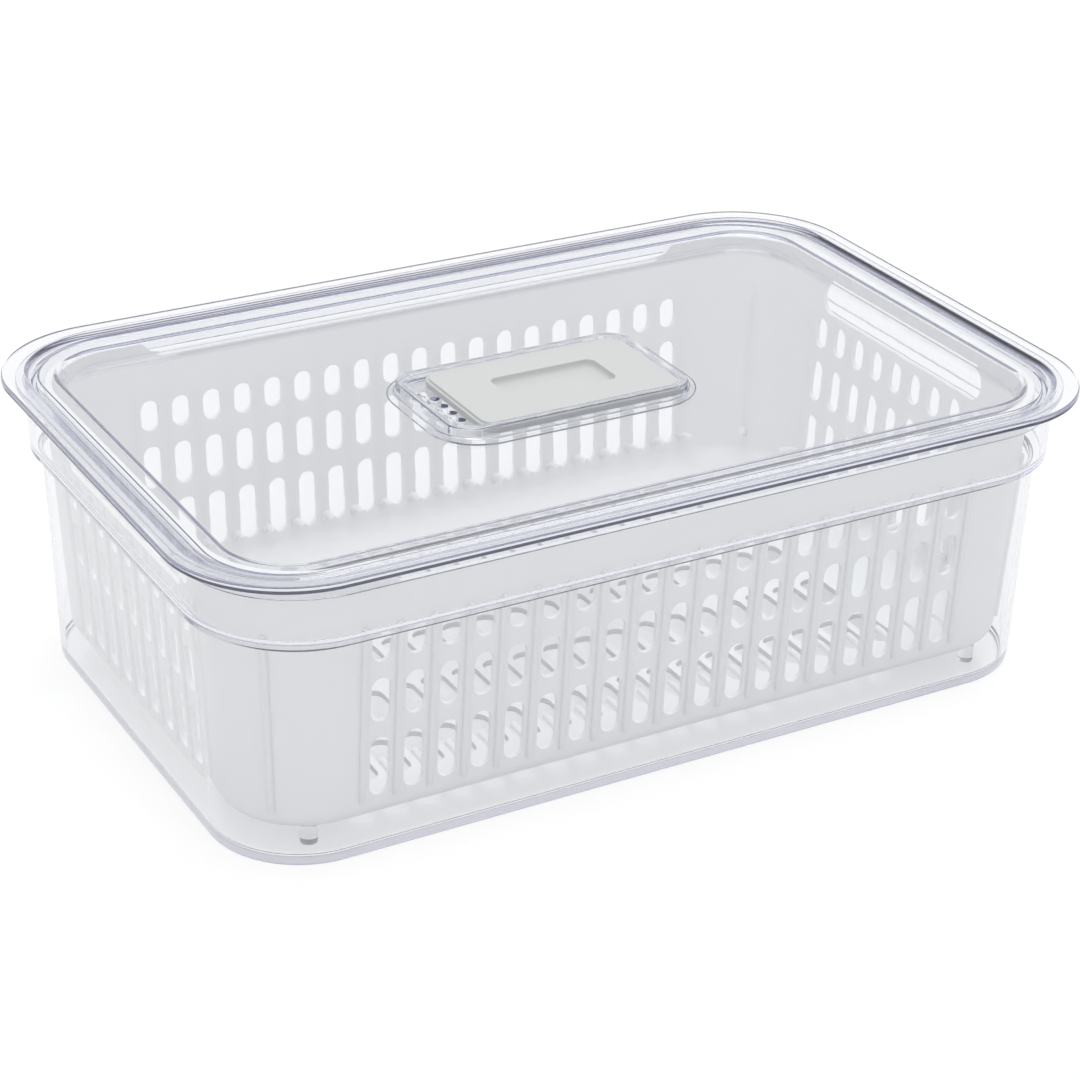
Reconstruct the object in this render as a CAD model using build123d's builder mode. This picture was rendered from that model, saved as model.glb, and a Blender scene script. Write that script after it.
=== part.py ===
# Clear fridge organizer bin with a white strainer basket and a vented lid.
# Millimetres. Length runs along X, width along Y, and the base stands on Z = 0.
import os
from math import atan2, degrees, hypot

from build123d import *

# Bin, outside
bin_length = 294.0
bin_width = 182.0
bin_corner = 31.0
base_edge = 2.2
wall_height = 75.3
wall_flare = 2.6
step_height = 2.2
step_out = 3.7
collar_height = 22.1
collar_flare = 0.8
rim_flange_out = 2.6
rim_flange_thickness = 2.0

# Bin, inside
bin_wall = 2.0
bin_floor = 2.4
ledge_thickness = 2.2
post_across_points = 6.2
post_height = 6.6
post_from_end = 27.0
post_from_side = 16.0

# Basket
basket_top_gap = 1.0
basket_side_gap = 3.7
basket_corner_ease = 1.0
basket_flare = 5.3
basket_wall = 1.6
basket_floor = 2.0
basket_edge = 3.6
basket_inner_edge = 2.4
basket_rim_out = 1.2
basket_rim_height = 3.0

# Strainer slots with blunt pointed ends, columns centred on each wall. Each row is a band of the
# basket's height, as the shares of that height at its bottom and top.
slot_pitch = 11.45
slot_width = 6.6
slot_point = 2.3
row_bands = ((0.098, 0.326), (0.391, 0.561), (0.626, 0.749))

# Outside ribs between the slot columns, and one on each corner
rib_width = 2.2
rib_depth = 1.2
rib_above_slots = 2.0

# Grip slots in the short walls and notches in the long walls
grip_length = 94.0
grip_band = (0.787, 0.915)
grip_corner = 3.2
notch_length = 210.0
notch_depth = 6.8
notch_slope = 7.0
notch_radius = 4.0

# Drain slots in the basket's floor, between the lines of the wall slots
drain_width = 8.8
drain_rows = 5
drain_row_gap = 8.5
drain_from_side = 17.85

# Lid
lip_overhang = 3.3
lip_corner_tightening = 1.2
lip_thickness = 2.4
lip_edge = 0.6
lip_flat = 7.6
lip_step = 1.4
lip_step_slope = 1.0
plug_clearance = 0.4
plug_depth = 6.8
lid_wall = 1.6
ledge_width = 9.4
recess_depth = 4.4
recess_slope = 2.5
skirt_to_tub = 3.0

# Vent in the middle of the lid
pocket_margin = 2.5
pocket_corner_ease = 4.5
pocket_depth = 0.8
pad_margin = 2.0
frame_length = 88.5
frame_width = 51.5
frame_corner = 9.0
frame_wall = 2.2
frame_height = 3.0
frame_fit = 0.3
flange_thickness = 1.0
frame_edge = 0.5
keeper_reach = 1.0
keeper_thickness = 1.1
slider_end_gap = 0.3
slider_side_gap = 0.3
slider_floor_gap = 0.2
slider_keeper_gap = 0.3
slider_travel = 8.4
slider_deck_rise = 0.8
slider_corner = 6.0
finger_length = 39.5
finger_width = 18.5
finger_depth = 2.2
finger_corner = 1.6
vent_hole_across_points = 3.4
vent_hole_pitch = 6.1
vent_row_pitch = 3.6
vent_first_row_from_wall = 3.65
vent_first_row_holes = 5

# Cuts between the straight walls and the corners of a moulding
cut_before_arc = 1.0

# Levels of the bin and of the lid, which rests on its rim
base_top = bin_floor
step_bottom = wall_height
step_top = step_bottom + step_height
rim_top = step_top + collar_height
lid_top = rim_top + lip_thickness
ledge_top = lid_top - lip_step
ledge_underside = ledge_top - lid_wall
panel_top = ledge_top - recess_depth
panel_underside = panel_top - lid_wall
plug_base = rim_top - plug_depth

# Growth of the bin's outline, on each side, above its outline at the base
step_growth = wall_flare + step_out
rim_growth = step_growth + collar_flare


def wall_growth(level):
    return wall_flare * level / wall_height


def collar_growth(level):
    return step_growth + collar_flare * (level - step_top) / collar_height


def drafted_block(outline, bottom, top, flare=0.0, mode=Mode.ADD):
    # A rounded rectangle raised between two levels, wider by the flare on each side at the top.
    length, width, corner = outline
    with BuildSketch(Plane.XY.offset(bottom)) as profile:
        RectangleRounded(length, width, corner)
    draft = degrees(atan2(flare, top - bottom))
    extrude(profile.sketch, amount=top - bottom, taper=-draft, mode=mode)


def grown(outline, growth):
    # The same outline, larger by the growth on each side, with its corners concentric.
    length, width, corner = outline
    return length + 2 * growth, width + 2 * growth, corner + growth


def cut_apart(part, outline):
    # The walls of a part as touching solids, cut from its corners just before the outline's arcs.
    length, width, corner = outline
    x_cut, y_cut = length / 2 - corner - cut_before_arc, width / 2 - corner - cut_before_arc
    with BuildPart() as pieces:
        add(part)
        for side in (-1, 1):
            split(bisect_by=Plane.YZ.offset(side * x_cut), keep=Keep.BOTH)
            split(bisect_by=Plane.XZ.offset(side * y_cut), keep=Keep.BOTH)
    return pieces.part.solids()


def tray_solids(part, floor_top, outline):
    # A tray as touching solids: its floor, and its walls and corners above that.
    with BuildPart() as floor:
        add(part)
        split(bisect_by=Plane.XY.offset(floor_top), keep=Keep.BOTTOM)
    with BuildPart() as walls:
        add(part)
        split(bisect_by=Plane.XY.offset(floor_top), keep=Keep.TOP)
    return floor.part.solids() + cut_apart(walls.part, outline)


bin_outline = (bin_length, bin_width, bin_corner)
rim_outline = grown(bin_outline, rim_growth + rim_flange_out)

# Hollow of the bin, one wall thickness inside its outline and with the same step.
inner_step_bottom = step_bottom + ledge_thickness
inner_step_top = step_top + ledge_thickness
floor_growth = wall_growth(base_top)
ledge_growth = wall_growth(inner_step_bottom)
mouth_growth = collar_growth(inner_step_top)
with BuildPart() as bin_hollow:
    floor_outline = grown(bin_outline, floor_growth - bin_wall)
    drafted_block(floor_outline, base_top, inner_step_bottom, ledge_growth - floor_growth)
    chamfer(bin_hollow.faces().sort_by(Axis.Z)[0].edges(), base_edge)
    ledge_outline = grown(bin_outline, ledge_growth - bin_wall)
    drafted_block(ledge_outline, inner_step_bottom, inner_step_top, mouth_growth - ledge_growth)
    mouth_outline = grown(bin_outline, mouth_growth - bin_wall)
    drafted_block(mouth_outline, inner_step_top, rim_top, rim_growth - mouth_growth)

# Bin: drafted walls, a step out to the collar, a rim flange and four basket posts.
with BuildPart() as bin_shell:
    drafted_block(bin_outline, 0, step_bottom, wall_flare)
    chamfer(bin_shell.faces().sort_by(Axis.Z)[0].edges(), base_edge)
    drafted_block(grown(bin_outline, wall_flare), step_bottom, step_top, step_out)
    drafted_block(grown(bin_outline, step_growth), step_top, rim_top, collar_flare)
    drafted_block(rim_outline, rim_top - rim_flange_thickness, rim_top)
    add(bin_hollow.part, mode=Mode.SUBTRACT)
    with BuildSketch(Plane.XY.offset(base_top)) as posts:
        with GridLocations(bin_length - 2 * post_from_end, bin_width - 2 * post_from_side, 2, 2):
            RegularPolygon(post_across_points / 2, 8)
    extrude(posts.sketch, amount=post_height)

with BuildPart() as bin_moulding:
    add(tray_solids(bin_shell.part, base_top, bin_outline), mode=Mode.REPLACE)

# Levels and outlines of the basket, which stands on the posts and stops short of the lid.
basket_base = base_top + post_height
basket_top = ledge_underside - basket_top_gap
basket_height = basket_top - basket_base
basket_growth = wall_growth(basket_base) - bin_wall - basket_side_gap
basket_length, basket_width, concentric_corner = grown(bin_outline, basket_growth)
basket_outline = (basket_length, basket_width, concentric_corner + basket_corner_ease)
slope = basket_flare / basket_height


def basket_at(level, inset=0.0):
    # The basket's outline at a level, moved in from its outside by the inset.
    return grown(basket_outline, slope * (level - basket_base) - inset)


def middle_and_height(band):
    # A band of the basket's height, as the level of its middle and its height.
    low, high = band
    return basket_base + basket_height * (low + high) / 2, basket_height * (high - low)


slot_rows = [middle_and_height(band) for band in row_bands]
slots_top = basket_base + basket_height * row_bands[-1][1]
grip_middle, grip_height = middle_and_height(grip_band)
rib_top = slots_top + rib_above_slots
rib_base = basket_base + basket_edge

# Columns that fit between the corners of each wall, and the drain rows across the floor
long_columns = round((basket_length - 2 * concentric_corner) / slot_pitch) - 1
short_columns = round((basket_width - 2 * concentric_corner) / slot_pitch) - 1
drain_columns = long_columns - 1
drain_room = basket_width - 2 * drain_from_side
drain_row_pitch = (drain_room + drain_row_gap) / drain_rows
drain_length = drain_row_pitch - drain_row_gap


def slot_corners(height):
    # Upright slot about its middle, each end a blunt point in place of a half circle.
    side, tip = slot_width / 2, height / 2
    shoulder = tip - slot_point
    return (0, tip), (-side, shoulder), (-side, -shoulder), (0, -tip), (side, -shoulder), (side, shoulder)


def cut_slots(plane, columns, depth):
    # Every row of slots through both of the walls that face along the plane's normal.
    for middle, row_height in slot_rows:
        with BuildSketch(plane) as row:
            with Locations((0, middle)):
                with GridLocations(slot_pitch, 0, columns, 1):
                    Polygon(*slot_corners(row_height), align=None)
        extrude(row.sketch, amount=depth, both=True, mode=Mode.SUBTRACT)


# Basket ribs: slabs on the pitch lines, cut to a skin around the basket's outside above its base edge.
with BuildPart() as ribs:
    rib_rise = slope * (rib_top - rib_base)
    drafted_block(basket_at(rib_base, -rib_depth), rib_base, rib_top, rib_rise)
    corner_x = basket_length / 2 - basket_outline[2]
    corner_y = basket_width / 2 - basket_outline[2]
    with BuildSketch(Plane.XY.offset(rib_base)) as slabs:
        with GridLocations(slot_pitch, 0, long_columns + 1, 1):
            Rectangle(rib_width, bin_width)
        with GridLocations(0, slot_pitch, 1, short_columns + 1):
            Rectangle(bin_length, rib_width)
        for x_side in (-1, 1):
            for y_side in (-1, 1):
                with Locations((x_side * corner_x, y_side * corner_y)):
                    turn = 45 * x_side * y_side
                    Rectangle(3 * basket_outline[2], rib_width, rotation=turn)
    extrude(slabs.sketch, amount=rib_top - rib_base, mode=Mode.INTERSECT)
    core = basket_at(rib_base, basket_wall / 2)
    drafted_block(core, rib_base, rib_top, rib_rise, mode=Mode.SUBTRACT)

# Hollow of the basket, with its bottom edge cut back so that the wall keeps its thickness there.
floor_level = basket_base + basket_floor
with BuildPart() as basket_hollow:
    hollow_flare = slope * (basket_top - floor_level)
    drafted_block(basket_at(floor_level, basket_wall), floor_level, basket_top, hollow_flare)
    chamfer(basket_hollow.faces().sort_by(Axis.Z)[0].edges(), basket_inner_edge)

# Basket: ribbed walls with slot rows, grips, notches, a rim and a drained floor.
with BuildPart() as basket:
    drafted_block(basket_outline, basket_base, basket_top, basket_flare)
    chamfer(basket.faces().sort_by(Axis.Z)[0].edges(), basket_edge)
    rim_base = basket_top - basket_rim_height
    drafted_block(basket_at(rim_base, -basket_rim_out), rim_base, basket_top, slope * basket_rim_height)
    add(ribs.part)
    add(basket_hollow.part, mode=Mode.SUBTRACT)
    cut_slots(Plane.XZ, long_columns, bin_width)
    cut_slots(Plane.YZ, short_columns, bin_length)
    with BuildSketch(Plane.YZ) as grips:
        with Locations((0, grip_middle)):
            Rectangle(grip_length, grip_height)
        chamfer(grips.vertices(), grip_corner)
    extrude(grips.sketch, amount=bin_length, both=True, mode=Mode.SUBTRACT)
    with BuildSketch(Plane.XZ) as notches:
        with BuildLine():
            notch_end = notch_length / 2
            notch_bottom_end = notch_end - notch_slope
            tool_end = notch_end + 3 * notch_radius
            tool_top = basket_top + 3 * notch_radius
            FilletPolyline(
                (-tool_end, tool_top),
                (-tool_end, basket_top),
                (-notch_end, basket_top),
                (-notch_bottom_end, basket_top - notch_depth),
                (notch_bottom_end, basket_top - notch_depth),
                (notch_end, basket_top),
                (tool_end, basket_top),
                (tool_end, tool_top),
                radius=notch_radius,
                close=True,
            )
        make_face()
    extrude(notches.sketch, amount=bin_width, both=True, mode=Mode.SUBTRACT)
    with BuildSketch(Plane.XY.offset(basket_base)) as drains:
        with GridLocations(slot_pitch, drain_row_pitch, drain_columns, drain_rows):
            Rectangle(drain_width, drain_length)
    extrude(drains.sketch, amount=basket_floor, mode=Mode.SUBTRACT)

with BuildPart() as basket_moulding:
    add(tray_solids(basket.part, floor_level, basket_outline), mode=Mode.REPLACE)

# Outlines of the lid, whose skirt plugs into the collar.
rim_length, rim_width, rim_corner = rim_outline
lip_length, lip_width = rim_length + 2 * lip_overhang, rim_width + 2 * lip_overhang
lip_outline = (lip_length, lip_width, rim_corner - lip_corner_tightening)
ledge_outline = grown(lip_outline, -lip_flat - lip_step_slope)
recess_outline = grown(ledge_outline, -ledge_width - recess_slope)
tub_slope = recess_slope / recess_depth
tub_wall = lid_wall * hypot(1, tub_slope)
tub_outline = grown(recess_outline, tub_wall - tub_slope * lid_wall)
plug_growth = collar_growth(plug_base) - bin_wall - plug_clearance
plug_outline = grown(bin_outline, plug_growth)
plug_flare = collar_growth(rim_top) - collar_growth(plug_base)

# Vent levels and outlines
frame_outline = (frame_length, frame_width, frame_corner)
pocket_length, pocket_width, concentric_pocket = grown(frame_outline, pocket_margin)
pocket_outline = (pocket_length, pocket_width, concentric_pocket + pocket_corner_ease)
pocket_floor = panel_top - pocket_depth
frame_top = panel_top + frame_height
frame_inside = grown(frame_outline, -frame_wall)
keeper_underside = frame_top - keeper_thickness
keeper_opening = grown(frame_inside, -keeper_reach)

# Lid: flat lip, plug skirt, stepped ledge and a sloped recess with the vent pocket.
with BuildPart() as lid:
    drafted_block(lip_outline, rim_top, lid_top)
    chamfer(lid.faces().sort_by(Axis.Z)[0].edges(), lip_edge)
    chamfer(lid.faces().sort_by(Axis.Z)[-1].edges(), lip_edge)
    drafted_block(plug_outline, plug_base, rim_top, plug_flare)
    skirt_inside = grown(plug_outline, -lid_wall)
    drafted_block(skirt_inside, plug_base, ledge_underside, mode=Mode.SUBTRACT)
    drafted_block(tub_outline, panel_underside, ledge_underside, recess_slope)
    drafted_block(ledge_outline, ledge_top, lid_top, lip_step_slope, Mode.SUBTRACT)
    drafted_block(recess_outline, panel_top, ledge_top, recess_slope, Mode.SUBTRACT)
    drafted_block(grown(pocket_outline, pad_margin), pocket_floor - lid_wall, panel_top)
    drafted_block(pocket_outline, pocket_floor, panel_top, mode=Mode.SUBTRACT)
    with BuildSketch(Plane.XY.offset(pocket_floor)) as vents:
        first_row_x = vent_first_row_from_wall - frame_inside[0] / 2
        with Locations((first_row_x, 0)):
            with GridLocations(0, vent_hole_pitch, 1, vent_first_row_holes):
                RegularPolygon(vent_hole_across_points / 2, 6)
        with Locations((first_row_x + vent_row_pitch, 0)):
            with GridLocations(0, vent_hole_pitch, 1, vent_first_row_holes - 1):
                RegularPolygon(vent_hole_across_points / 2, 6)
    extrude(vents.sketch, amount=-lid_wall, mode=Mode.SUBTRACT)

# The lid as touching solids: its sunken panel, the ring around that, and the plug skirt.
between_walls = grown(tub_outline, recess_slope + skirt_to_tub)
with BuildPart() as lid_panel:
    drafted_block(between_walls, plug_base - lid_wall, panel_top)
    add(lid.part, mode=Mode.INTERSECT)

with BuildPart() as lid_skirt:
    add(lid.part)
    split(bisect_by=Plane.XY.offset(ledge_underside), keep=Keep.BOTTOM)
    drafted_block(between_walls, plug_base - lid_wall, ledge_underside, mode=Mode.SUBTRACT)

with BuildPart() as lid_ring:
    add(lid.part)
    add(lid_panel.part, mode=Mode.SUBTRACT)
    add(lid_skirt.part, mode=Mode.SUBTRACT)

with BuildPart() as lid_moulding:
    ring_solids = cut_apart(lid_ring.part, plug_outline)
    skirt_solids = cut_apart(lid_skirt.part, plug_outline)
    add(lid_panel.part.solids() + ring_solids + skirt_solids, mode=Mode.REPLACE)

# Vent frame: a flange in the pocket and a raised ring with an inward keeper lip.
with BuildPart() as vent_frame:
    flange = grown(pocket_outline, -frame_fit)
    drafted_block(flange, pocket_floor, pocket_floor + flange_thickness)
    drafted_block(frame_outline, pocket_floor, frame_top)
    chamfer(vent_frame.faces().sort_by(Axis.Z)[-1].edges(), frame_edge)
    drafted_block(frame_inside, pocket_floor, keeper_underside, mode=Mode.SUBTRACT)
    drafted_block(keeper_opening, keeper_underside, frame_top, mode=Mode.SUBTRACT)

# Vent slider, drawn open, against the end of the frame away from the vent holes.
with BuildPart() as vent_slider:
    slide_room = slider_travel + 2 * slider_end_gap
    plate_length = frame_inside[0] - slide_room
    plate_width = frame_inside[1] - 2 * slider_side_gap
    deck_length = keeper_opening[0] - slide_room
    deck_width = keeper_opening[1] - 2 * slider_side_gap
    plate_bottom = pocket_floor + slider_floor_gap
    plate_top = keeper_underside - slider_keeper_gap
    deck_top = plate_top + slider_deck_rise
    with BuildSketch(Plane.XY.offset(plate_bottom)) as plate:
        with Locations((slider_travel / 2, 0)):
            RectangleRounded(plate_length, plate_width, slider_corner)
    extrude(plate.sketch, amount=plate_top - plate_bottom)
    with BuildSketch(Plane.XY.offset(plate_top)) as deck:
        with Locations((slider_travel / 2, 0)):
            RectangleRounded(deck_length, deck_width, slider_corner - keeper_reach)
    extrude(deck.sketch, amount=slider_deck_rise)
    with BuildSketch(Plane.XY.offset(deck_top)) as finger_recess:
        with Locations((slider_travel / 2, 0)):
            Rectangle(finger_length, finger_width)
        chamfer(finger_recess.vertices(), finger_corner)
    extrude(finger_recess.sketch, amount=-finger_depth, mode=Mode.SUBTRACT)

# Write each piece to its own file.
bin_moulding.part.label = "bin"
basket_moulding.part.label = "basket"
lid_moulding.part.label = "lid"
vent_frame.part.label = "vent_frame"
vent_slider.part.label = "vent_slider"
os.makedirs("parts", exist_ok=True)
export_step(bin_moulding.part, "parts/bin.step")
export_step(basket_moulding.part, "parts/basket.step")
export_step(lid_moulding.part, "parts/lid.step")
export_step(vent_frame.part, "parts/vent_frame.step")
export_step(vent_slider.part, "parts/vent_slider.step")
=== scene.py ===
# Clear fridge bin with a white strainer basket and a clear lid with a sliding vent.
# Sizes are in millimetres and become metres where a mesh is made.
from math import radians, sin, tan

import bpy
from mathutils import Matrix, Vector


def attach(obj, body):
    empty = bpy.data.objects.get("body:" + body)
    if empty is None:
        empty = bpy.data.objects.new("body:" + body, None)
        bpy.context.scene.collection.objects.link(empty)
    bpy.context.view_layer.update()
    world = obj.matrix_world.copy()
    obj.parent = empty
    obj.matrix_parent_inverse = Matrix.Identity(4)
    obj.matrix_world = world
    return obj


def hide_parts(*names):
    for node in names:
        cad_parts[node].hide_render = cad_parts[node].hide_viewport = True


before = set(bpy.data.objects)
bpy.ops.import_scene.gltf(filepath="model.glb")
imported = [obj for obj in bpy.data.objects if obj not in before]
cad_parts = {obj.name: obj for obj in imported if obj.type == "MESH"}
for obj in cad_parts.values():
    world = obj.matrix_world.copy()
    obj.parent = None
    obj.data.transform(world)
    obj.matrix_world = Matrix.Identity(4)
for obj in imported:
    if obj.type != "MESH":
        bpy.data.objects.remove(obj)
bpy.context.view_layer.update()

mm = 0.001
nearLevel = 2e-6         # metres: a face this close to a level lies on it
leastInset = 1e-7        # metres: below this a step of a path is a straight rise
flatNormal = 0.99        # a face whose normal is this upright is flat
print("packed frame loaded")


def selectOnly(*pieces):
    bpy.ops.object.select_all(action="DESELECT")
    for piece in pieces:
        piece.select_set(True)
    bpy.context.view_layer.objects.active = pieces[0]


def addSlab(name, outline, bottom, top, cornerSteps):
    # A closed slab over a rounded rectangle, given as its length, width and corner radius.
    length, width, corner = outline
    bpy.ops.object.select_all(action="DESELECT")
    bpy.ops.mesh.primitive_plane_add(size=mm, location=(0, 0, bottom * mm))
    slab = bpy.context.object
    slab.name = slab.data.name = name
    bpy.ops.object.mode_set(mode="EDIT")
    bpy.ops.mesh.select_all(action="SELECT")
    bpy.ops.transform.resize(value=(length, width, 1))
    bpy.ops.mesh.bevel(offset=corner * mm, segments=cornerSteps, affect="VERTICES",
                       clamp_overlap=False)
    bpy.ops.mesh.select_all(action="SELECT")
    bpy.ops.mesh.extrude_region_move(TRANSFORM_OT_translate={"value": (0, 0, (top - bottom) * mm)})
    bpy.ops.object.mode_set(mode="OBJECT")
    bpy.ops.object.transform_apply(location=True, rotation=True, scale=True)
    return slab


def editFaces(piece, wanted):
    # Opens the piece for editing with only the wanted faces selected.
    selectOnly(piece)
    bpy.context.tool_settings.mesh_select_mode = (False, False, True)
    bpy.ops.object.mode_set(mode="EDIT")
    bpy.ops.mesh.select_all(action="DESELECT")
    bpy.ops.object.mode_set(mode="OBJECT")
    for face in piece.data.polygons:
        face.select = wanted(face)
    bpy.ops.object.mode_set(mode="EDIT")


def roundedPath(points, cuts):
    # Points are (inset, level) or (inset, level, radius). A radius turns the corner into an arc.
    path = []
    for index, point in enumerate(points):
        here = Vector(point[:2])
        if len(point) < 3:
            path.append(here)
            continue
        before = (Vector(points[index - 1][:2]) - here).normalized()
        after = (Vector(points[index + 1][:2]) - here).normalized()
        half = before.angle(after) / 2
        centre = here + (before + after).normalized() * point[2] / sin(half)
        run = point[2] / tan(half)
        first, last = here + before * run - centre, here + after * run - centre
        sweep = first.angle(last)
        for cut in range(cuts + 1):
            share = cut / cuts
            arm = first * sin((1 - share) * sweep) + last * sin(share * sweep)
            path.append(centre + arm / sin(sweep))
    return path


def traceFace(piece, up, points, cuts=6):
    # Takes the flat face at the path's first level along the path, by insets and rises.
    level, facing = points[0][1] * mm, 1 if up else -1
    editFaces(piece, lambda face: abs(face.center.z - level) < nearLevel
              and face.normal.z * facing > flatNormal)
    path = roundedPath(points, cuts)
    for here, there in zip(path, path[1:]):
        inset, rise = (there.x - here.x) * mm, (there.y - here.y) * mm
        if inset < leastInset:
            bpy.ops.mesh.extrude_region_move(TRANSFORM_OT_translate={"value": (0, 0, rise)})
        else:
            bpy.ops.mesh.inset(thickness=inset, depth=rise if up else -rise, use_even_offset=True)
    bpy.ops.object.mode_set(mode="OBJECT")


def addShell(name, outline, outside, inside, cornerSteps, cuts=(6, 6)):
    # A slab between the first levels of two paths: one shapes its underside, one its top.
    shell = addSlab(name, outline, outside[0][1], inside[0][1], cornerSteps)
    traceFace(shell, False, outside, cuts[0])
    traceFace(shell, True, inside, cuts[1])
    return shell


def addRing(name, outline, outside, inside, cornerSteps, cuts=(6, 6)):
    # A shell that is open in the middle: the flat faces at the ends of its paths are joined.
    ring = addShell(name, outline, outside, inside, cornerSteps, cuts)
    levels = (inside[-1][1] * mm, outside[-1][1] * mm)
    editFaces(ring, lambda face: abs(face.normal.z) > flatNormal and len(face.vertices) > 4
              and min(abs(face.center.z - level) for level in levels) < nearLevel)
    bpy.ops.mesh.bridge_edge_loops()
    bpy.ops.object.mode_set(mode="OBJECT")
    return ring


def place(piece, location=(0, 0, 0), turn=(0, 0, 0)):
    piece.rotation_euler = [radians(angle) for angle in turn]
    piece.location = [value * mm for value in location]
    selectOnly(piece)
    bpy.ops.object.transform_apply(location=True, rotation=True, scale=True)
    return piece


def repeat(piece, count, step):
    # Copies the piece along a step and keeps the copies in its mesh.
    row = piece.modifiers.new("row", "ARRAY")
    row.count = count
    row.use_relative_offset = False
    row.use_constant_offset = True
    row.constant_offset_displace = [value * mm for value in step]
    selectOnly(piece)
    bpy.ops.object.modifier_apply(modifier="row")
    return piece


def copyOf(piece, location=(0, 0, 0), turn=(0, 0, 0)):
    selectOnly(piece)
    bpy.ops.object.duplicate(linked=False)
    return place(bpy.context.object, location, turn)


def joined(*pieces):
    selectOnly(*pieces)
    bpy.ops.object.join()
    return bpy.context.object


def combine(piece, tool, operation):
    cut = piece.modifiers.new("cut", "BOOLEAN")
    cut.operation = operation
    cut.solver = "EXACT"
    cut.object = tool
    selectOnly(piece)
    bpy.ops.object.modifier_apply(modifier="cut")
    bpy.data.objects.remove(tool)


def finishShape(piece, sharpAngle=32, flatWeight=100):
    # Smooth arcs beside flat faces: large faces keep their own direction.
    selectOnly(piece)
    bpy.ops.object.shade_smooth_by_angle(angle=radians(sharpAngle))
    weighted = piece.modifiers.new("weighted", "WEIGHTED_NORMAL")
    weighted.keep_sharp = True
    weighted.weight = flatWeight
    bpy.ops.object.modifier_apply(modifier="weighted")


class Value:
    # A socket that can stand in an expression. Each operator adds its Math node.
    def __init__(self, shading, socket):
        self.shading = shading
        self.socket = socket

    def maths(self, operation, first, second):
        return self.shading.node("ShaderNodeMath", {"operation": operation}, {0: first, 1: second})

    def __add__(self, other):
        return self.maths("ADD", self, other)

    def __sub__(self, other):
        return self.maths("SUBTRACT", self, other)

    def __mul__(self, other):
        return self.maths("MULTIPLY", self, other)

    def __rsub__(self, other):
        return self.maths("SUBTRACT", other, self)

    __radd__ = __add__
    __rmul__ = __mul__

    def most(self, other):
        return self.maths("MAXIMUM", self, other)

    def above(self, limit):
        return self.maths("GREATER_THAN", self, limit)


class Shading:
    def __init__(self, owner):
        owner.use_nodes = True
        self.tree = owner.node_tree
        self.tree.nodes.clear()

    def node(self, kind, settings=None, inputs=None, output=0):
        # Settings are set before the inputs, because some of them change which sockets there are.
        made = self.tree.nodes.new(kind)
        for name, value in (settings or {}).items():
            setattr(made, name, value)
        for name, value in (inputs or {}).items():
            if isinstance(value, Value):
                self.tree.links.new(value.socket, made.inputs[name])
            else:
                made.inputs[name].default_value = value
        return Value(self, made.outputs[output]) if made.outputs else made

    def vector(self, operation, *sources, output=0):
        inputs = dict(enumerate(sources))
        return self.node("ShaderNodeVectorMath", {"operation": operation}, inputs, output)

    def mixColours(self, factor, first, second):
        inputs = {0: factor, 6: first, 7: second}
        return self.node("ShaderNodeMix", {"data_type": "RGBA"}, inputs, output=2)

    def seenBy(self, *rays):
        total = self.node("ShaderNodeLightPath", output=rays[0])
        for ray in rays[1:]:
            total = total.most(self.node("ShaderNodeLightPath", output=ray))
        return total

    def noise(self, spot, scale, detail, roughness):
        return self.node("ShaderNodeTexNoise", None, {
            "Vector": spot, "Scale": scale, "Detail": detail, "Roughness": roughness})

    def finish(self, surface):
        self.node("ShaderNodeOutputMaterial", None, {"Surface": surface})


def dress(piece, material, body, node):
    piece.data.materials.clear()
    piece.data.materials.append(material)
    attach(piece, body)
    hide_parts(node)


clearLook = {
    "tint": (0.968, 0.976, 0.980, 1),
    "hazeTint": (0.952, 0.962, 0.968, 1),
    "haze": (9.0, 3.0, 0.55),            # scale, detail and roughness of the noise
    "clearness": 0.985,
    "ior": 1.53,
    "roughness": 0.012,
    "roughnessSpread": 0.012,
    "absorb": (0.52, 0.52, 0.66, 1),
    "absorbDensity": {"bin": 14.0, "lid": 36.0},
    "shadowLight": (0.975, 0.977, 0.980, 1),
    "caughtLight": {"bin": (0.87, 0.875, 0.92, 1), "lid": (0.46, 0.47, 0.58, 1)},
    "mostMirrored": {"bin": 1.5, "lid": 2.5},
    "mostTurns": 9.5,
    "swirl": (38.0, 2.0, 0.45),
    "ripple": 0.010,
    "rippleDepth": 0.01,
    # Painted shade: colour of the dark lines painted along the edges, in place of their shading.
    "paintedEdgeShade": {"bin": (0.045, 0.047, 0.075, 1), "lid": (0.018, 0.018, 0.035, 1)},
    # Levels of the dark edge lines painted into the colour as painted shade, and how far out from
    # the corner centres they begin.
    "paintedShadeLevels": {"bin": [(0.04, 0.50), (75.0, 75.65), (77.25, 77.6)], "lid": [(99.70, 100.95)]},
    "paintedShadeCentre": (120.5, 64.5),
    "paintedShadeReach": {"bin": 10.0, "lid": 34.0},
}


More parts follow.
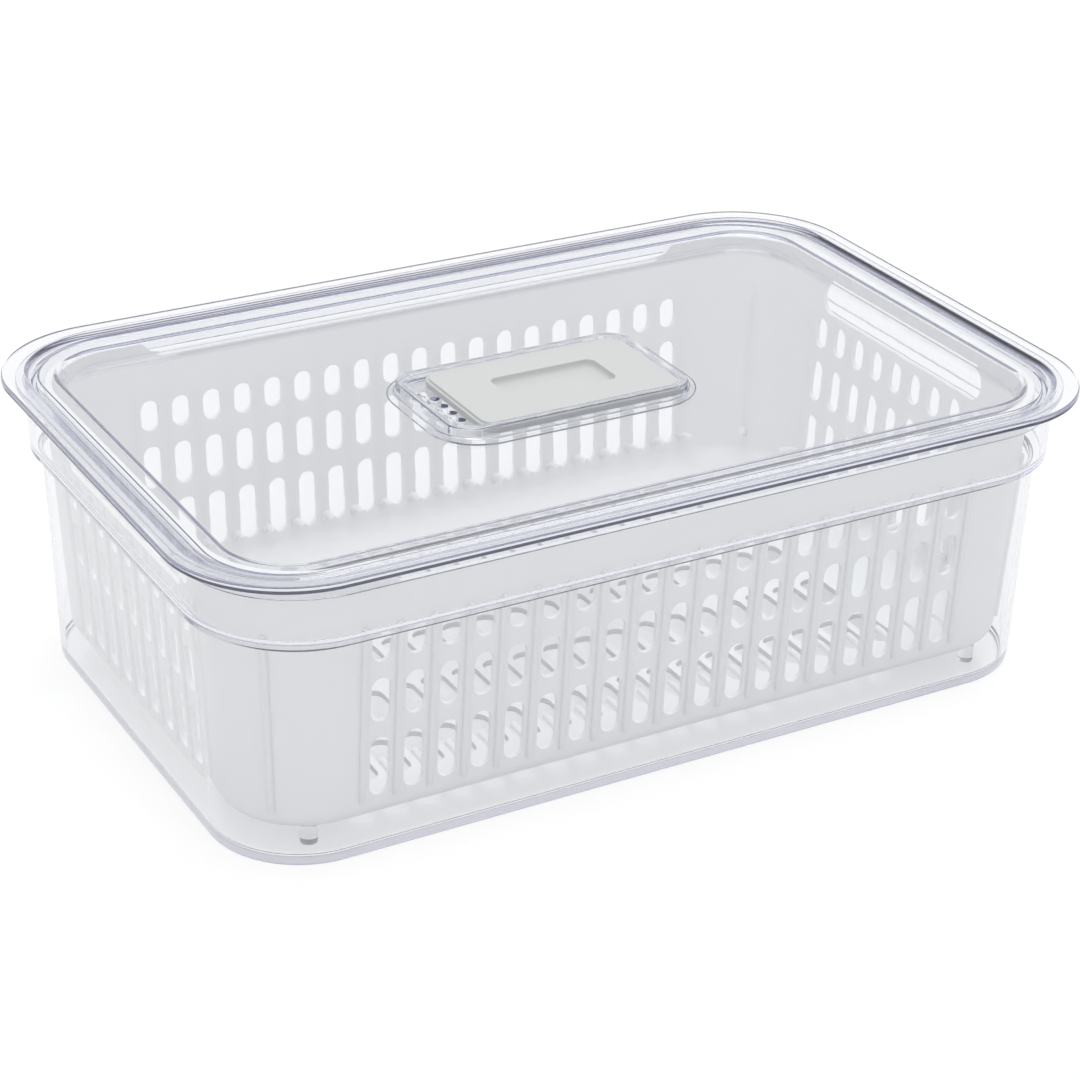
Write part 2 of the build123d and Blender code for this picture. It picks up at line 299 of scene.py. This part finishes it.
def makeClearPlastic(name):
    look = clearLook
    material = bpy.data.materials.new(name + "Clear")
    shading = Shading(material)
    spot = shading.node("ShaderNodeTexCoord", output="Object")
    swirl = shading.noise(spot, *look["swirl"])
    haze = shading.noise(spot, *look["haze"])
    ripple = shading.node("ShaderNodeBump", None, {
        "Height": swirl, "Strength": look["ripple"], "Distance": look["rippleDepth"]})
    height = shading.node("ShaderNodeSeparateXYZ", None, {"Vector": spot}, output="Z")
    # Painted shade: a mask of thin bands at the edges' levels, away from the corners.
    paintedShadeMask = 0.0
    for low, high in look["paintedShadeLevels"][name]:
        paintedShadeMask = height.above(low * mm) * (1 - height.above(high * mm)) + paintedShadeMask
    centreX, centreY = look["paintedShadeCentre"]
    outward = shading.vector("ABSOLUTE", spot)
    outward = shading.vector("SUBTRACT", outward, (centreX * mm, centreY * mm, 1.0))
    outward = shading.vector("MAXIMUM", outward, (0, 0, 0))      # height falls out here
    reach = shading.vector("LENGTH", outward, output="Value")
    paintedShadeMask = paintedShadeMask * reach.above(look["paintedShadeReach"][name] * mm)
    tint = shading.mixColours(haze, look["tint"], look["hazeTint"])
    # The painted shade lines darken the tint here.
    tint = shading.mixColours(paintedShadeMask, tint, look["paintedEdgeShade"][name])
    glass = shading.node("ShaderNodeBsdfPrincipled", None, {
        "Base Color": tint,
        "Roughness": look["roughness"] + haze * look["roughnessSpread"],
        "IOR": look["ior"],
        "Transmission Weight": look["clearness"],
        "Normal": ripple,
    })
    # Light that has turned many times in an edge gets out with the edge's violet.
    caught = shading.seenBy("Glossy Depth").above(look["mostMirrored"][name])
    caught = caught.most(shading.seenBy("Ray Depth").above(look["mostTurns"]))
    violet = look["caughtLight"][name]
    edgeLight = shading.node("ShaderNodeBsdfTransparent", None, {"Color": violet})
    edged = shading.node("ShaderNodeMixShader", None, {0: caught, 1: glass, 2: edgeLight})
    # Lamps reach what is inside, as they do through real clear plastic.
    openLight = shading.node("ShaderNodeBsdfTransparent", None, {"Color": look["shadowLight"]})
    rays = shading.seenBy("Is Shadow Ray", "Is Diffuse Ray")
    surface = shading.node("ShaderNodeMixShader", None, {0: rays, 1: edged, 2: openLight})
    depth = shading.node("ShaderNodeVolumeAbsorption", None, {
        "Color": look["absorb"], "Density": look["absorbDensity"][name]})
    shading.node("ShaderNodeOutputMaterial", None, {"Surface": surface, "Volume": depth})
    return material


whiteLook = {
    "colour": {"basket": (0.885, 0.89, 0.895, 1), "slider": (0.55, 0.56, 0.56, 1)},
    "worn": {"basket": (0.86, 0.868, 0.875, 1), "slider": (0.53, 0.545, 0.545, 1)},
    "roughness": {"basket": 0.36, "slider": 0.30},
    "roughnessSpread": 0.12,
    "cloud": (14.0, 3.0, 0.55),          # scale, detail and roughness of the noise
    "grain": (900.0, 2.0, 0.5),
    "grainStrength": 0.06,
    "grainDepth": 0.0004,
    "ior": 1.49,
    "softness": 0.15,
    "softRadius": (1.0, 1.0, 1.0),
    "softDepth": 0.003,
}


def makeWhitePlastic(name):
    look = whiteLook
    material = bpy.data.materials.new(name + "White")
    shading = Shading(material)
    spot = shading.node("ShaderNodeTexCoord", output="Object")
    cloud = shading.noise(spot, *look["cloud"])
    grain = shading.noise(spot, *look["grain"])
    bump = shading.node("ShaderNodeBump", None, {
        "Height": grain, "Strength": look["grainStrength"], "Distance": look["grainDepth"]})
    surface = shading.node("ShaderNodeBsdfPrincipled", None, {
        "Base Color": shading.mixColours(cloud, look["colour"][name], look["worn"][name]),
        "Roughness": look["roughness"][name] + cloud * look["roughnessSpread"],
        "IOR": look["ior"],
        "Subsurface Weight": look["softness"],
        "Subsurface Radius": look["softRadius"],
        "Subsurface Scale": look["softDepth"],
        "Normal": bump,
    })
    shading.finish(surface)
    return material


binClear = makeClearPlastic("bin")
lidClear = makeClearPlastic("lid")
basketWhite = makeWhitePlastic("basket")
sliderWhite = makeWhitePlastic("slider")
print("plastics made")


# Outlines are (length, width, corner radius). Paths are (inset from the outline, level, radius).

binShape = {
    "rim": (313.4, 201.4, 40.7),
    "cornerSteps": 24,
    "outside": [(0, 98.7), (0, 97.6, 0.5), (2.67, 97.6, 0.5), (3.4, 77.5, 0.8), (7.1, 75.3, 0.8),
                (9.7, 0, 1.9), (14.5, 0)],
    "inside": [(0, 98.9), (0, 99.6, 0.45), (4.6, 99.6, 0.45), (5.32, 79.7, 0.9), (9.02, 77.5, 0.9),
               (11.62, 2.4, 2.6), (16.0, 2.4)],
    "postAt": (122.4, 78.2),
    "postRadius": 2.8,
    "postTop": 8.95,
    "postHeight": 6.52,                  # ends just above the floor
    "postEdge": 0.4,
    "postSides": 32,
    "postEdgeSteps": 3,
}


def buildBin():
    shape = binShape
    piece = addShell("clearBin", shape["rim"], shape["outside"], shape["inside"],
                     shape["cornerSteps"])
    radius, height = shape["postRadius"], shape["postHeight"]
    bpy.ops.object.select_all(action="DESELECT")
    bpy.ops.mesh.primitive_cylinder_add(vertices=shape["postSides"], radius=radius * mm,
                                        depth=height * mm)
    post = bpy.context.object
    editFaces(post, lambda face: abs(face.normal.z) > flatNormal)
    bpy.ops.mesh.bevel(offset=shape["postEdge"] * mm, segments=shape["postEdgeSteps"])
    bpy.ops.object.mode_set(mode="OBJECT")
    postX, postY = shape["postAt"]
    place(post, (-postX, -postY, shape["postTop"] - height / 2))
    repeat(post, 2, (2 * postX, 0, 0))
    repeat(post, 2, (0, 2 * postY, 0))
    piece = joined(piece, post)
    finishShape(piece)
    dress(piece, binClear, "bin", "bin")


buildBin()
print("bin built")


basketShape = {
    "rim": (296.12, 184.12, 33.06),
    "cornerSteps": 20,
    "outside": [(0, 97.0), (0.12, 95.0, 0.5), (1.33, 94.9, 0.5), (6.45, 9.05, 6.0), (16.0, 9.05)],
    "inside": [(0, 97.2), (0, 98.0, 0.7), (2.76, 98.0, 0.7), (7.94, 11.0, 4.0), (14.0, 11.0)],
    "pitch": 11.45,
    "slotWidth": 6.6,
    "slotSteps": 5,
    "slotFlat": 0.02,                    # keeps a slot's two end arcs just apart
    "slotInset": 4.0,                    # from the rim to the middle of the cutters
    "slotCut": 9.0,
    "rows": [(27.85, 20.3), (51.35, 15.1), (70.2, 11.0)],        # level, height
    "longColumns": 19,
    "shortColumns": 9,
    "grip": (11.4, 94.0, 5.0),           # height, length, corner radius
    "gripSteps": 8,
    "gripLevel": 84.75,
    "gripCut": 160.0,
    "notchTop": 210.0,
    "notchBottom": 196.0,
    "notchLevel": 91.2,
    "notchRadius": 4.0,
    "notchSteps": 7,
    "notchOver": 14.0,                   # how far the notch's cutter goes past the rim
    "notchCut": 110.0,
    "rimLevel": 98.0,
    "drain": (8.8, 20.3, 3.6),
    "drainSteps": 6,
    "drainCut": (6.0, 13.0),
    "drainRows": 5,
    "drainPitch": 28.8,
}


def wallSlots(columns, rimHalf):
    # Short upright stadium cutters on both of the walls that face along Y.
    shape = basketShape
    width, pitch, cut = shape["slotWidth"], shape["pitch"], shape["slotCut"]
    distance = rimHalf - shape["slotInset"]
    rows = []
    for level, height in shape["rows"]:
        outline = (width, height, width / 2 - shape["slotFlat"])
        slot = addSlab("slot", outline, -cut, cut, shape["slotSteps"])
        place(slot, (-(columns - 1) / 2 * pitch, -distance, level), (90, 0, 0))
        repeat(slot, columns, (pitch, 0, 0))
        repeat(slot, 2, (0, 2 * distance, 0))
        rows.append(slot)
    return joined(*rows)


def notchTool():
    # A flared trough with rounded corners that runs across both long walls.
    shape = basketShape
    half, foot = shape["notchTop"] / 2, shape["notchBottom"] / 2
    rim, over, bend = shape["rimLevel"], shape["notchOver"], shape["notchRadius"]
    side = [(half + over, rim + over), (half + over, rim), (half, rim, bend),
            (foot, shape["notchLevel"], bend)]
    mirrored = [(-point[0], *point[1:]) for point in side]
    outline = roundedPath(mirrored + side[::-1], shape["notchSteps"])
    bpy.ops.object.select_all(action="DESELECT")
    bpy.ops.mesh.primitive_circle_add(vertices=len(outline), radius=mm, fill_type="NGON")
    tool = bpy.context.object
    cut = shape["notchCut"] * mm
    for vertex, (x, y) in zip(tool.data.vertices, outline):
        vertex.co = (x * mm, y * mm, -cut)
    editFaces(tool, lambda face: True)
    bpy.ops.mesh.extrude_region_move(TRANSFORM_OT_translate={"value": (0, 0, 2 * cut)})
    bpy.ops.mesh.select_all(action="SELECT")
    bpy.ops.mesh.normals_make_consistent(inside=False)
    bpy.ops.object.mode_set(mode="OBJECT")
    return place(tool, turn=(90, 0, 0))


ribShape = {
    "radius": 1.15,
    "sides": 8,
    "top": 77.7,
    "foot": 9.0,                         # level at which the wall stands in by footInset
    "footInset": 6.45,
    "lean": 5.3 / 89,                    # the wall's draft, outward for each mm up
    "tilt": 3.4,                         # the same draft in degrees
    "tipScale": 0.55,
    "tip": [(0.35, 1.5), (0.9, 1.21)],   # drop and growth of the rounded upper end
    "run": 60.0,
    "bendSteps": 5,
    "bendAngle": 86,
    "bendInset": 6.4,
    "bendLevel": 15.4,
    "under": 3.0,
}


def buildRib():
    # One rib on the front wall: down the draft, round the base edge and a little way under.
    shape = ribShape
    top, lean, run = shape["top"], shape["lean"], shape["run"]
    front = -basketShape["rim"][1] / 2 + shape["footInset"]
    start = front - lean * (top - shape["foot"])
    bpy.ops.object.select_all(action="DESELECT")
    bpy.ops.mesh.primitive_circle_add(vertices=shape["sides"], radius=shape["radius"] * mm,
                                      fill_type="NGON")
    rib = bpy.context.object
    place(rib, (0, start, top), (-shape["tilt"], 0, 0))
    editFaces(rib, lambda face: True)
    tip = shape["tipScale"]
    bpy.ops.transform.resize(value=(tip, tip, 1), center_override=(0, start * mm, top * mm))
    for drop, growth in shape["tip"]:
        bpy.ops.mesh.extrude_region_move(TRANSFORM_OT_translate={"value": (0, 0, -drop * mm)})
        bpy.ops.transform.resize(value=(growth, growth, 1))
    bpy.ops.mesh.extrude_region_move(TRANSFORM_OT_translate={
        "value": (0, lean * run * mm, -run * mm)})
    bend = (0, (front + shape["bendInset"]) * mm, shape["bendLevel"] * mm)
    bpy.ops.mesh.spin(steps=shape["bendSteps"], angle=radians(shape["bendAngle"]), center=bend,
                      axis=(1, 0, 0))
    bpy.ops.mesh.extrude_region_move(TRANSFORM_OT_translate={"value": (0, shape["under"] * mm, 0)})
    bpy.ops.mesh.select_all(action="SELECT")
    bpy.ops.mesh.remove_doubles(threshold=1e-6)
    bpy.ops.mesh.normals_make_consistent(inside=False)
    bpy.ops.object.mode_set(mode="OBJECT")
    return rib


def buildRibs():
    shape = basketShape
    rib = buildRib()
    pitch = shape["pitch"]
    length, width, corner = shape["rim"]
    longCount, shortCount = shape["longColumns"] + 1, shape["shortColumns"] + 1
    reach = (length - width) / 2
    cornerX, cornerY = length / 2 - corner, width / 2 - corner
    ribs = []
    for turn in (0, 180):
        row = copyOf(rib, turn=(0, 0, turn))
        place(row, (-(longCount - 1) / 2 * pitch, 0, 0))
        ribs.append(repeat(row, longCount, (pitch, 0, 0)))
    for turn, side in ((90, 1), (-90, -1)):
        row = copyOf(rib, turn=(0, 0, turn))
        place(row, (side * reach, -(shortCount - 1) / 2 * pitch, 0))
        ribs.append(repeat(row, shortCount, (0, pitch, 0)))
    centred = copyOf(rib, (0, cornerY, 0))
    for turn, x, y in ((-45, -1, -1), (45, 1, -1), (135, 1, 1), (-135, -1, 1)):
        ribs.append(copyOf(centred, (x * cornerX, y * cornerY, 0), (0, 0, turn)))
    bpy.data.objects.remove(rib)
    bpy.data.objects.remove(centred)
    return joined(*ribs)


def buildBasket():
    shape = basketShape
    length, width, _ = shape["rim"]
    piece = addShell("strainerBasket", shape["rim"], shape["outside"], shape["inside"],
                     shape["cornerSteps"])

    slots = wallSlots(shape["longColumns"], width / 2)
    shortSlots = wallSlots(shape["shortColumns"], length / 2)
    place(shortSlots, turn=(0, 0, 90))
    drain = addSlab("drain", shape["drain"], *shape["drainCut"], shape["drainSteps"])
    columns, rows = shape["longColumns"] - 1, shape["drainRows"]
    pitchX, pitchY = shape["pitch"], shape["drainPitch"]
    place(drain, (-(columns - 1) / 2 * pitchX, -(rows - 1) / 2 * pitchY, 0))
    repeat(drain, columns, (pitchX, 0, 0))
    repeat(drain, rows, (0, pitchY, 0))
    combine(piece, joined(slots, shortSlots, drain), "DIFFERENCE")

    grip = addSlab("grip", shape["grip"], -shape["gripCut"], shape["gripCut"], shape["gripSteps"])
    place(grip, (0, 0, shape["gripLevel"]), (0, 90, 0))
    combine(piece, grip, "DIFFERENCE")
    combine(piece, notchTool(), "DIFFERENCE")
    piece = joined(piece, buildRibs())
    finishShape(piece)
    dress(piece, basketWhite, "basket", "basket")


buildBasket()
print("basket built")


lidShape = {
    "lip": (320.0, 208.0, 39.5),
    "cornerSteps": 28,
    "outside": [(0, 100.7), (0, 99.65, 0.6), (11.7, 99.65, 0.2), (12.3, 99.0, 0.2),
                (17.07, 99.0, 0.8), (19.57, 94.6, 1.6), (26.0, 94.6)],
    "inside": [(0, 100.9), (0, 102.0, 0.8), (7.6, 102.0, 0.6), (8.6, 100.6, 0.5),
               (18.0, 100.6, 1.4), (20.5, 96.2, 1.4), (27.0, 96.2)],
    "plug": (303.4, 191.4, 35.7),
    "plugSteps": 24,
    "plugOutside": [(0, 99.9), (0.25, 92.8, 0.35), (1.85, 92.8, 0.35), (1.86, 99.8)],
    "plugInside": [(0, 100.1), (1.86, 100.1)],
    "pocketSteps": 16,
    "pad": (97.5, 60.5, 18.0),
    "padTop": 95.3,
    "padPath": [(0, 94.4), (0, 93.8, 0.5), (4, 93.8)],
    "pocket": (93.5, 56.5, 16.0),
    "pocketTop": 97.0,
    "pocketPath": [(0, 96.0), (0.02, 95.4, 0.3), (3, 95.4)],
    "ventRows": [(-38.4, 5), (-34.8, 4)],        # place along the length, count
    "ventPitch": 6.1,
    "ventRadius": 1.6,
    "ventSides": 24,
    "ventLevel": 94.5,
    "ventCut": 4.0,
}


def buildLid():
    shape = lidShape
    piece = addShell("clearLid", shape["lip"], shape["outside"], shape["inside"],
                     shape["cornerSteps"])
    plug = addRing("plug", shape["plug"], shape["plugOutside"], shape["plugInside"],
                   shape["plugSteps"])
    combine(piece, plug, "UNION")

    path, steps = shape["padPath"], shape["pocketSteps"]
    pad = addSlab("pad", shape["pad"], path[0][1], shape["padTop"], steps)
    traceFace(pad, False, path)
    combine(piece, pad, "UNION")
    path = shape["pocketPath"]
    pocket = addSlab("pocket", shape["pocket"], path[0][1], shape["pocketTop"], steps)
    traceFace(pocket, False, path, cuts=4)
    combine(piece, pocket, "DIFFERENCE")

    pitch = shape["ventPitch"]
    holes = []
    for x, count in shape["ventRows"]:
        bpy.ops.object.select_all(action="DESELECT")
        bpy.ops.mesh.primitive_cylinder_add(vertices=shape["ventSides"],
                                            radius=shape["ventRadius"] * mm,
                                            depth=shape["ventCut"] * mm)
        hole = place(bpy.context.object, (x, -(count - 1) / 2 * pitch, shape["ventLevel"]))
        holes.append(repeat(hole, count, (0, pitch, 0)))
    combine(piece, joined(*holes), "DIFFERENCE")
    finishShape(piece)
    dress(piece, lidClear, "lid", "lid")


buildLid()
print("lid built")


frameShape = {
    "ring": (88.5, 51.5, 9.0),
    "ringOutside": [(0, 97.0), (0, 95.44), (2.2, 95.44, 0.1), (2.21, 98.1, 0.1), (3.2, 98.1)],
    "ringInside": [(0, 97.2), (0, 99.2, 0.5), (3.2, 99.2)],
    "flange": (92.9, 55.9, 15.7),
    "flangeOutside": [(0, 95.7), (0, 95.44), (2.45, 95.44)],
    "flangeInside": [(0, 95.9), (0, 96.4, 0.2), (2.45, 96.4)],
    "cornerSteps": 14,
}


def buildVentFrame():
    shape = frameShape
    piece = addRing("ventFrame", shape["ring"], shape["ringOutside"], shape["ringInside"],
                    shape["cornerSteps"], cuts=(3, 4))
    flange = addRing("flange", shape["flange"], shape["flangeOutside"], shape["flangeInside"],
                     shape["cornerSteps"], cuts=(3, 3))
    combine(piece, flange, "UNION")
    finishShape(piece)
    dress(piece, lidClear, "lid", "vent_frame")


sliderShape = {
    "plate": (75.1, 46.5, 6.0),
    "cornerSteps": 10,
    "outside": [(0, 96.6), (0, 95.6, 0.3), (4, 95.6)],
    "inside": [(0, 96.8), (0, 97.8, 0.2), (1.0, 97.8, 0.15), (1.01, 98.6, 0.35), (4, 98.6)],
    "shift": 4.2,
    "finger": (39.5, 18.5, 3.2),
    "fingerSteps": 8,
    "fingerTop": 99.4,
    "fingerPath": [(0, 98.9), (0.6, 96.4, 1.6), (2.9, 96.4)],
}


def buildVentSlider():
    shape = sliderShape
    piece = addShell("ventSlider", shape["plate"], shape["outside"], shape["inside"],
                     shape["cornerSteps"], cuts=(3, 4))
    path = shape["fingerPath"]
    finger = addSlab("finger", shape["finger"], path[0][1], shape["fingerTop"],
                     shape["fingerSteps"])
    traceFace(finger, False, path, cuts=7)
    combine(piece, finger, "DIFFERENCE")
    place(piece, (shape["shift"], 0, 0))
    finishShape(piece)
    dress(piece, sliderWhite, "vent_slider", "vent_slider")


buildVentFrame()
buildVentSlider()
print("vent built")


studio = {
    "ambient": 0.78,
    "floorSize": 8,
    "floorLevel": -0.0002,
    "floorGlow": 0.75,
    "floorShade": 0.33,
    "paper": (0.82, 0.82, 0.825, 1),
    "paperFleck": (0.81, 0.81, 0.815, 1),
    "fleck": (60.0, 2.0, 0.5),           # scale, detail and roughness of the noise
    "ceiling": (0.16, 0.15, 0.22, 1),
    "ceilingFrom": 0.62,
    "ceilingTo": 0.90,
    "lampAim": (0, 0, 0.05),
    "lamps": [
        # place, size, power
        ((-0.12, -0.16, 1.45), 1.1, 7.0),
        ((0.6, 0.45, 1.3), 0.9, 4.0),
    ],
}


def makeFloor():
    bpy.ops.object.select_all(action="DESELECT")
    level = (0, 0, studio["floorLevel"])
    bpy.ops.mesh.primitive_plane_add(size=studio["floorSize"], location=level)
    floor = bpy.context.object
    floor.name = "studioFloor"
    material = bpy.data.materials.new("studioPaper")
    shading = Shading(material)
    spot = shading.node("ShaderNodeTexCoord", output="Object")
    fleck = shading.noise(spot, *studio["fleck"])
    paper = shading.mixColours(fleck, studio["paper"], studio["paperFleck"])
    matte = shading.node("ShaderNodeBsdfDiffuse", None, {"Color": paper})
    glow = shading.node("ShaderNodeEmission", None, {
        "Color": (1, 1, 1, 1), "Strength": studio["floorGlow"]})
    dark = shading.node("ShaderNodeBsdfTransparent", None, {"Color": (0, 0, 0, 1)})
    shade = shading.node("ShaderNodeMixShader", None, {0: studio["floorShade"], 1: dark, 2: matte})
    lit = shading.node("ShaderNodeAddShader", None, {0: glow, 1: shade})
    seen = shading.seenBy("Is Camera Ray", "Is Glossy Ray", "Is Transmission Ray")
    shading.finish(shading.node("ShaderNodeMixShader", None, {0: seen, 1: matte, 2: lit}))
    floor.data.materials.append(material)


def makeWorld():
    world = bpy.data.worlds.new("studioWorld")
    bpy.context.scene.world = world
    shading = Shading(world)
    direction = shading.node("ShaderNodeTexCoord", output="Generated")
    height = shading.node("ShaderNodeSeparateXYZ", None, {"Vector": direction}, output="Z")
    overhead = shading.node("ShaderNodeMapRange", {"interpolation_type": "SMOOTHSTEP"}, {
        "Value": height, "From Min": studio["ceilingFrom"], "From Max": studio["ceilingTo"]})
    camera = shading.seenBy("Is Camera Ray")
    seen = shading.seenBy("Is Camera Ray", "Is Glossy Ray", "Is Transmission Ray")
    backdrop = shading.mixColours(overhead * (1 - camera), (1, 1, 1, 1), studio["ceiling"])
    ambient = studio["ambient"]
    colour = shading.mixColours(seen, (ambient, ambient, ambient, 1), backdrop)
    background = shading.node("ShaderNodeBackground", None, {"Color": colour, "Strength": 1.0})
    shading.node("ShaderNodeOutputWorld", None, {"Surface": background})


def makeLamps():
    for number, (spot, size, power) in enumerate(studio["lamps"]):
        lamp = bpy.data.lights.new("softbox%d" % number, "AREA")
        lamp.shape = "DISK"
        lamp.size = size
        lamp.energy = power
        holder = bpy.data.objects.new("softbox%d" % number, lamp)
        bpy.context.collection.objects.link(holder)
        holder.location = spot
        holder.visible_glossy = False        # no lamp is mirrored in the lid
        towards = Vector(studio["lampAim"]) - Vector(spot)
        holder.rotation_euler = towards.to_track_quat("-Z", "Y").to_euler()


cameraView = {
    "place": (-0.42744, -0.74832, 0.47709),
    "forward": (0.44645, 0.78160, -0.43564),
    "up": (0.19724, 0.38892, 0.89991),
    "lens": 95.658,
    "sensor": 36,
    "shiftX": 0.0001,
    "shiftY": -0.0493,
    "clipStart": 0.01,
}


def makeCamera():
    camera = bpy.data.objects.new("camera", bpy.data.cameras.new("camera"))
    bpy.context.collection.objects.link(camera)
    forward, up = Vector(cameraView["forward"]), Vector(cameraView["up"])
    right = forward.cross(up).normalized()
    turned = Matrix((right, right.cross(forward), -forward)).transposed()
    camera.matrix_world = Matrix.Translation(cameraView["place"]) @ turned.to_4x4()
    camera.data.lens = cameraView["lens"]
    camera.data.sensor_width = cameraView["sensor"]
    camera.data.shift_x, camera.data.shift_y = cameraView["shiftX"], cameraView["shiftY"]
    camera.data.clip_start = cameraView["clipStart"]
    bpy.context.scene.camera = camera


makeFloor()
makeWorld()
makeLamps()
makeCamera()
bpy.context.scene.view_settings.view_transform = "Standard"
print("studio set")
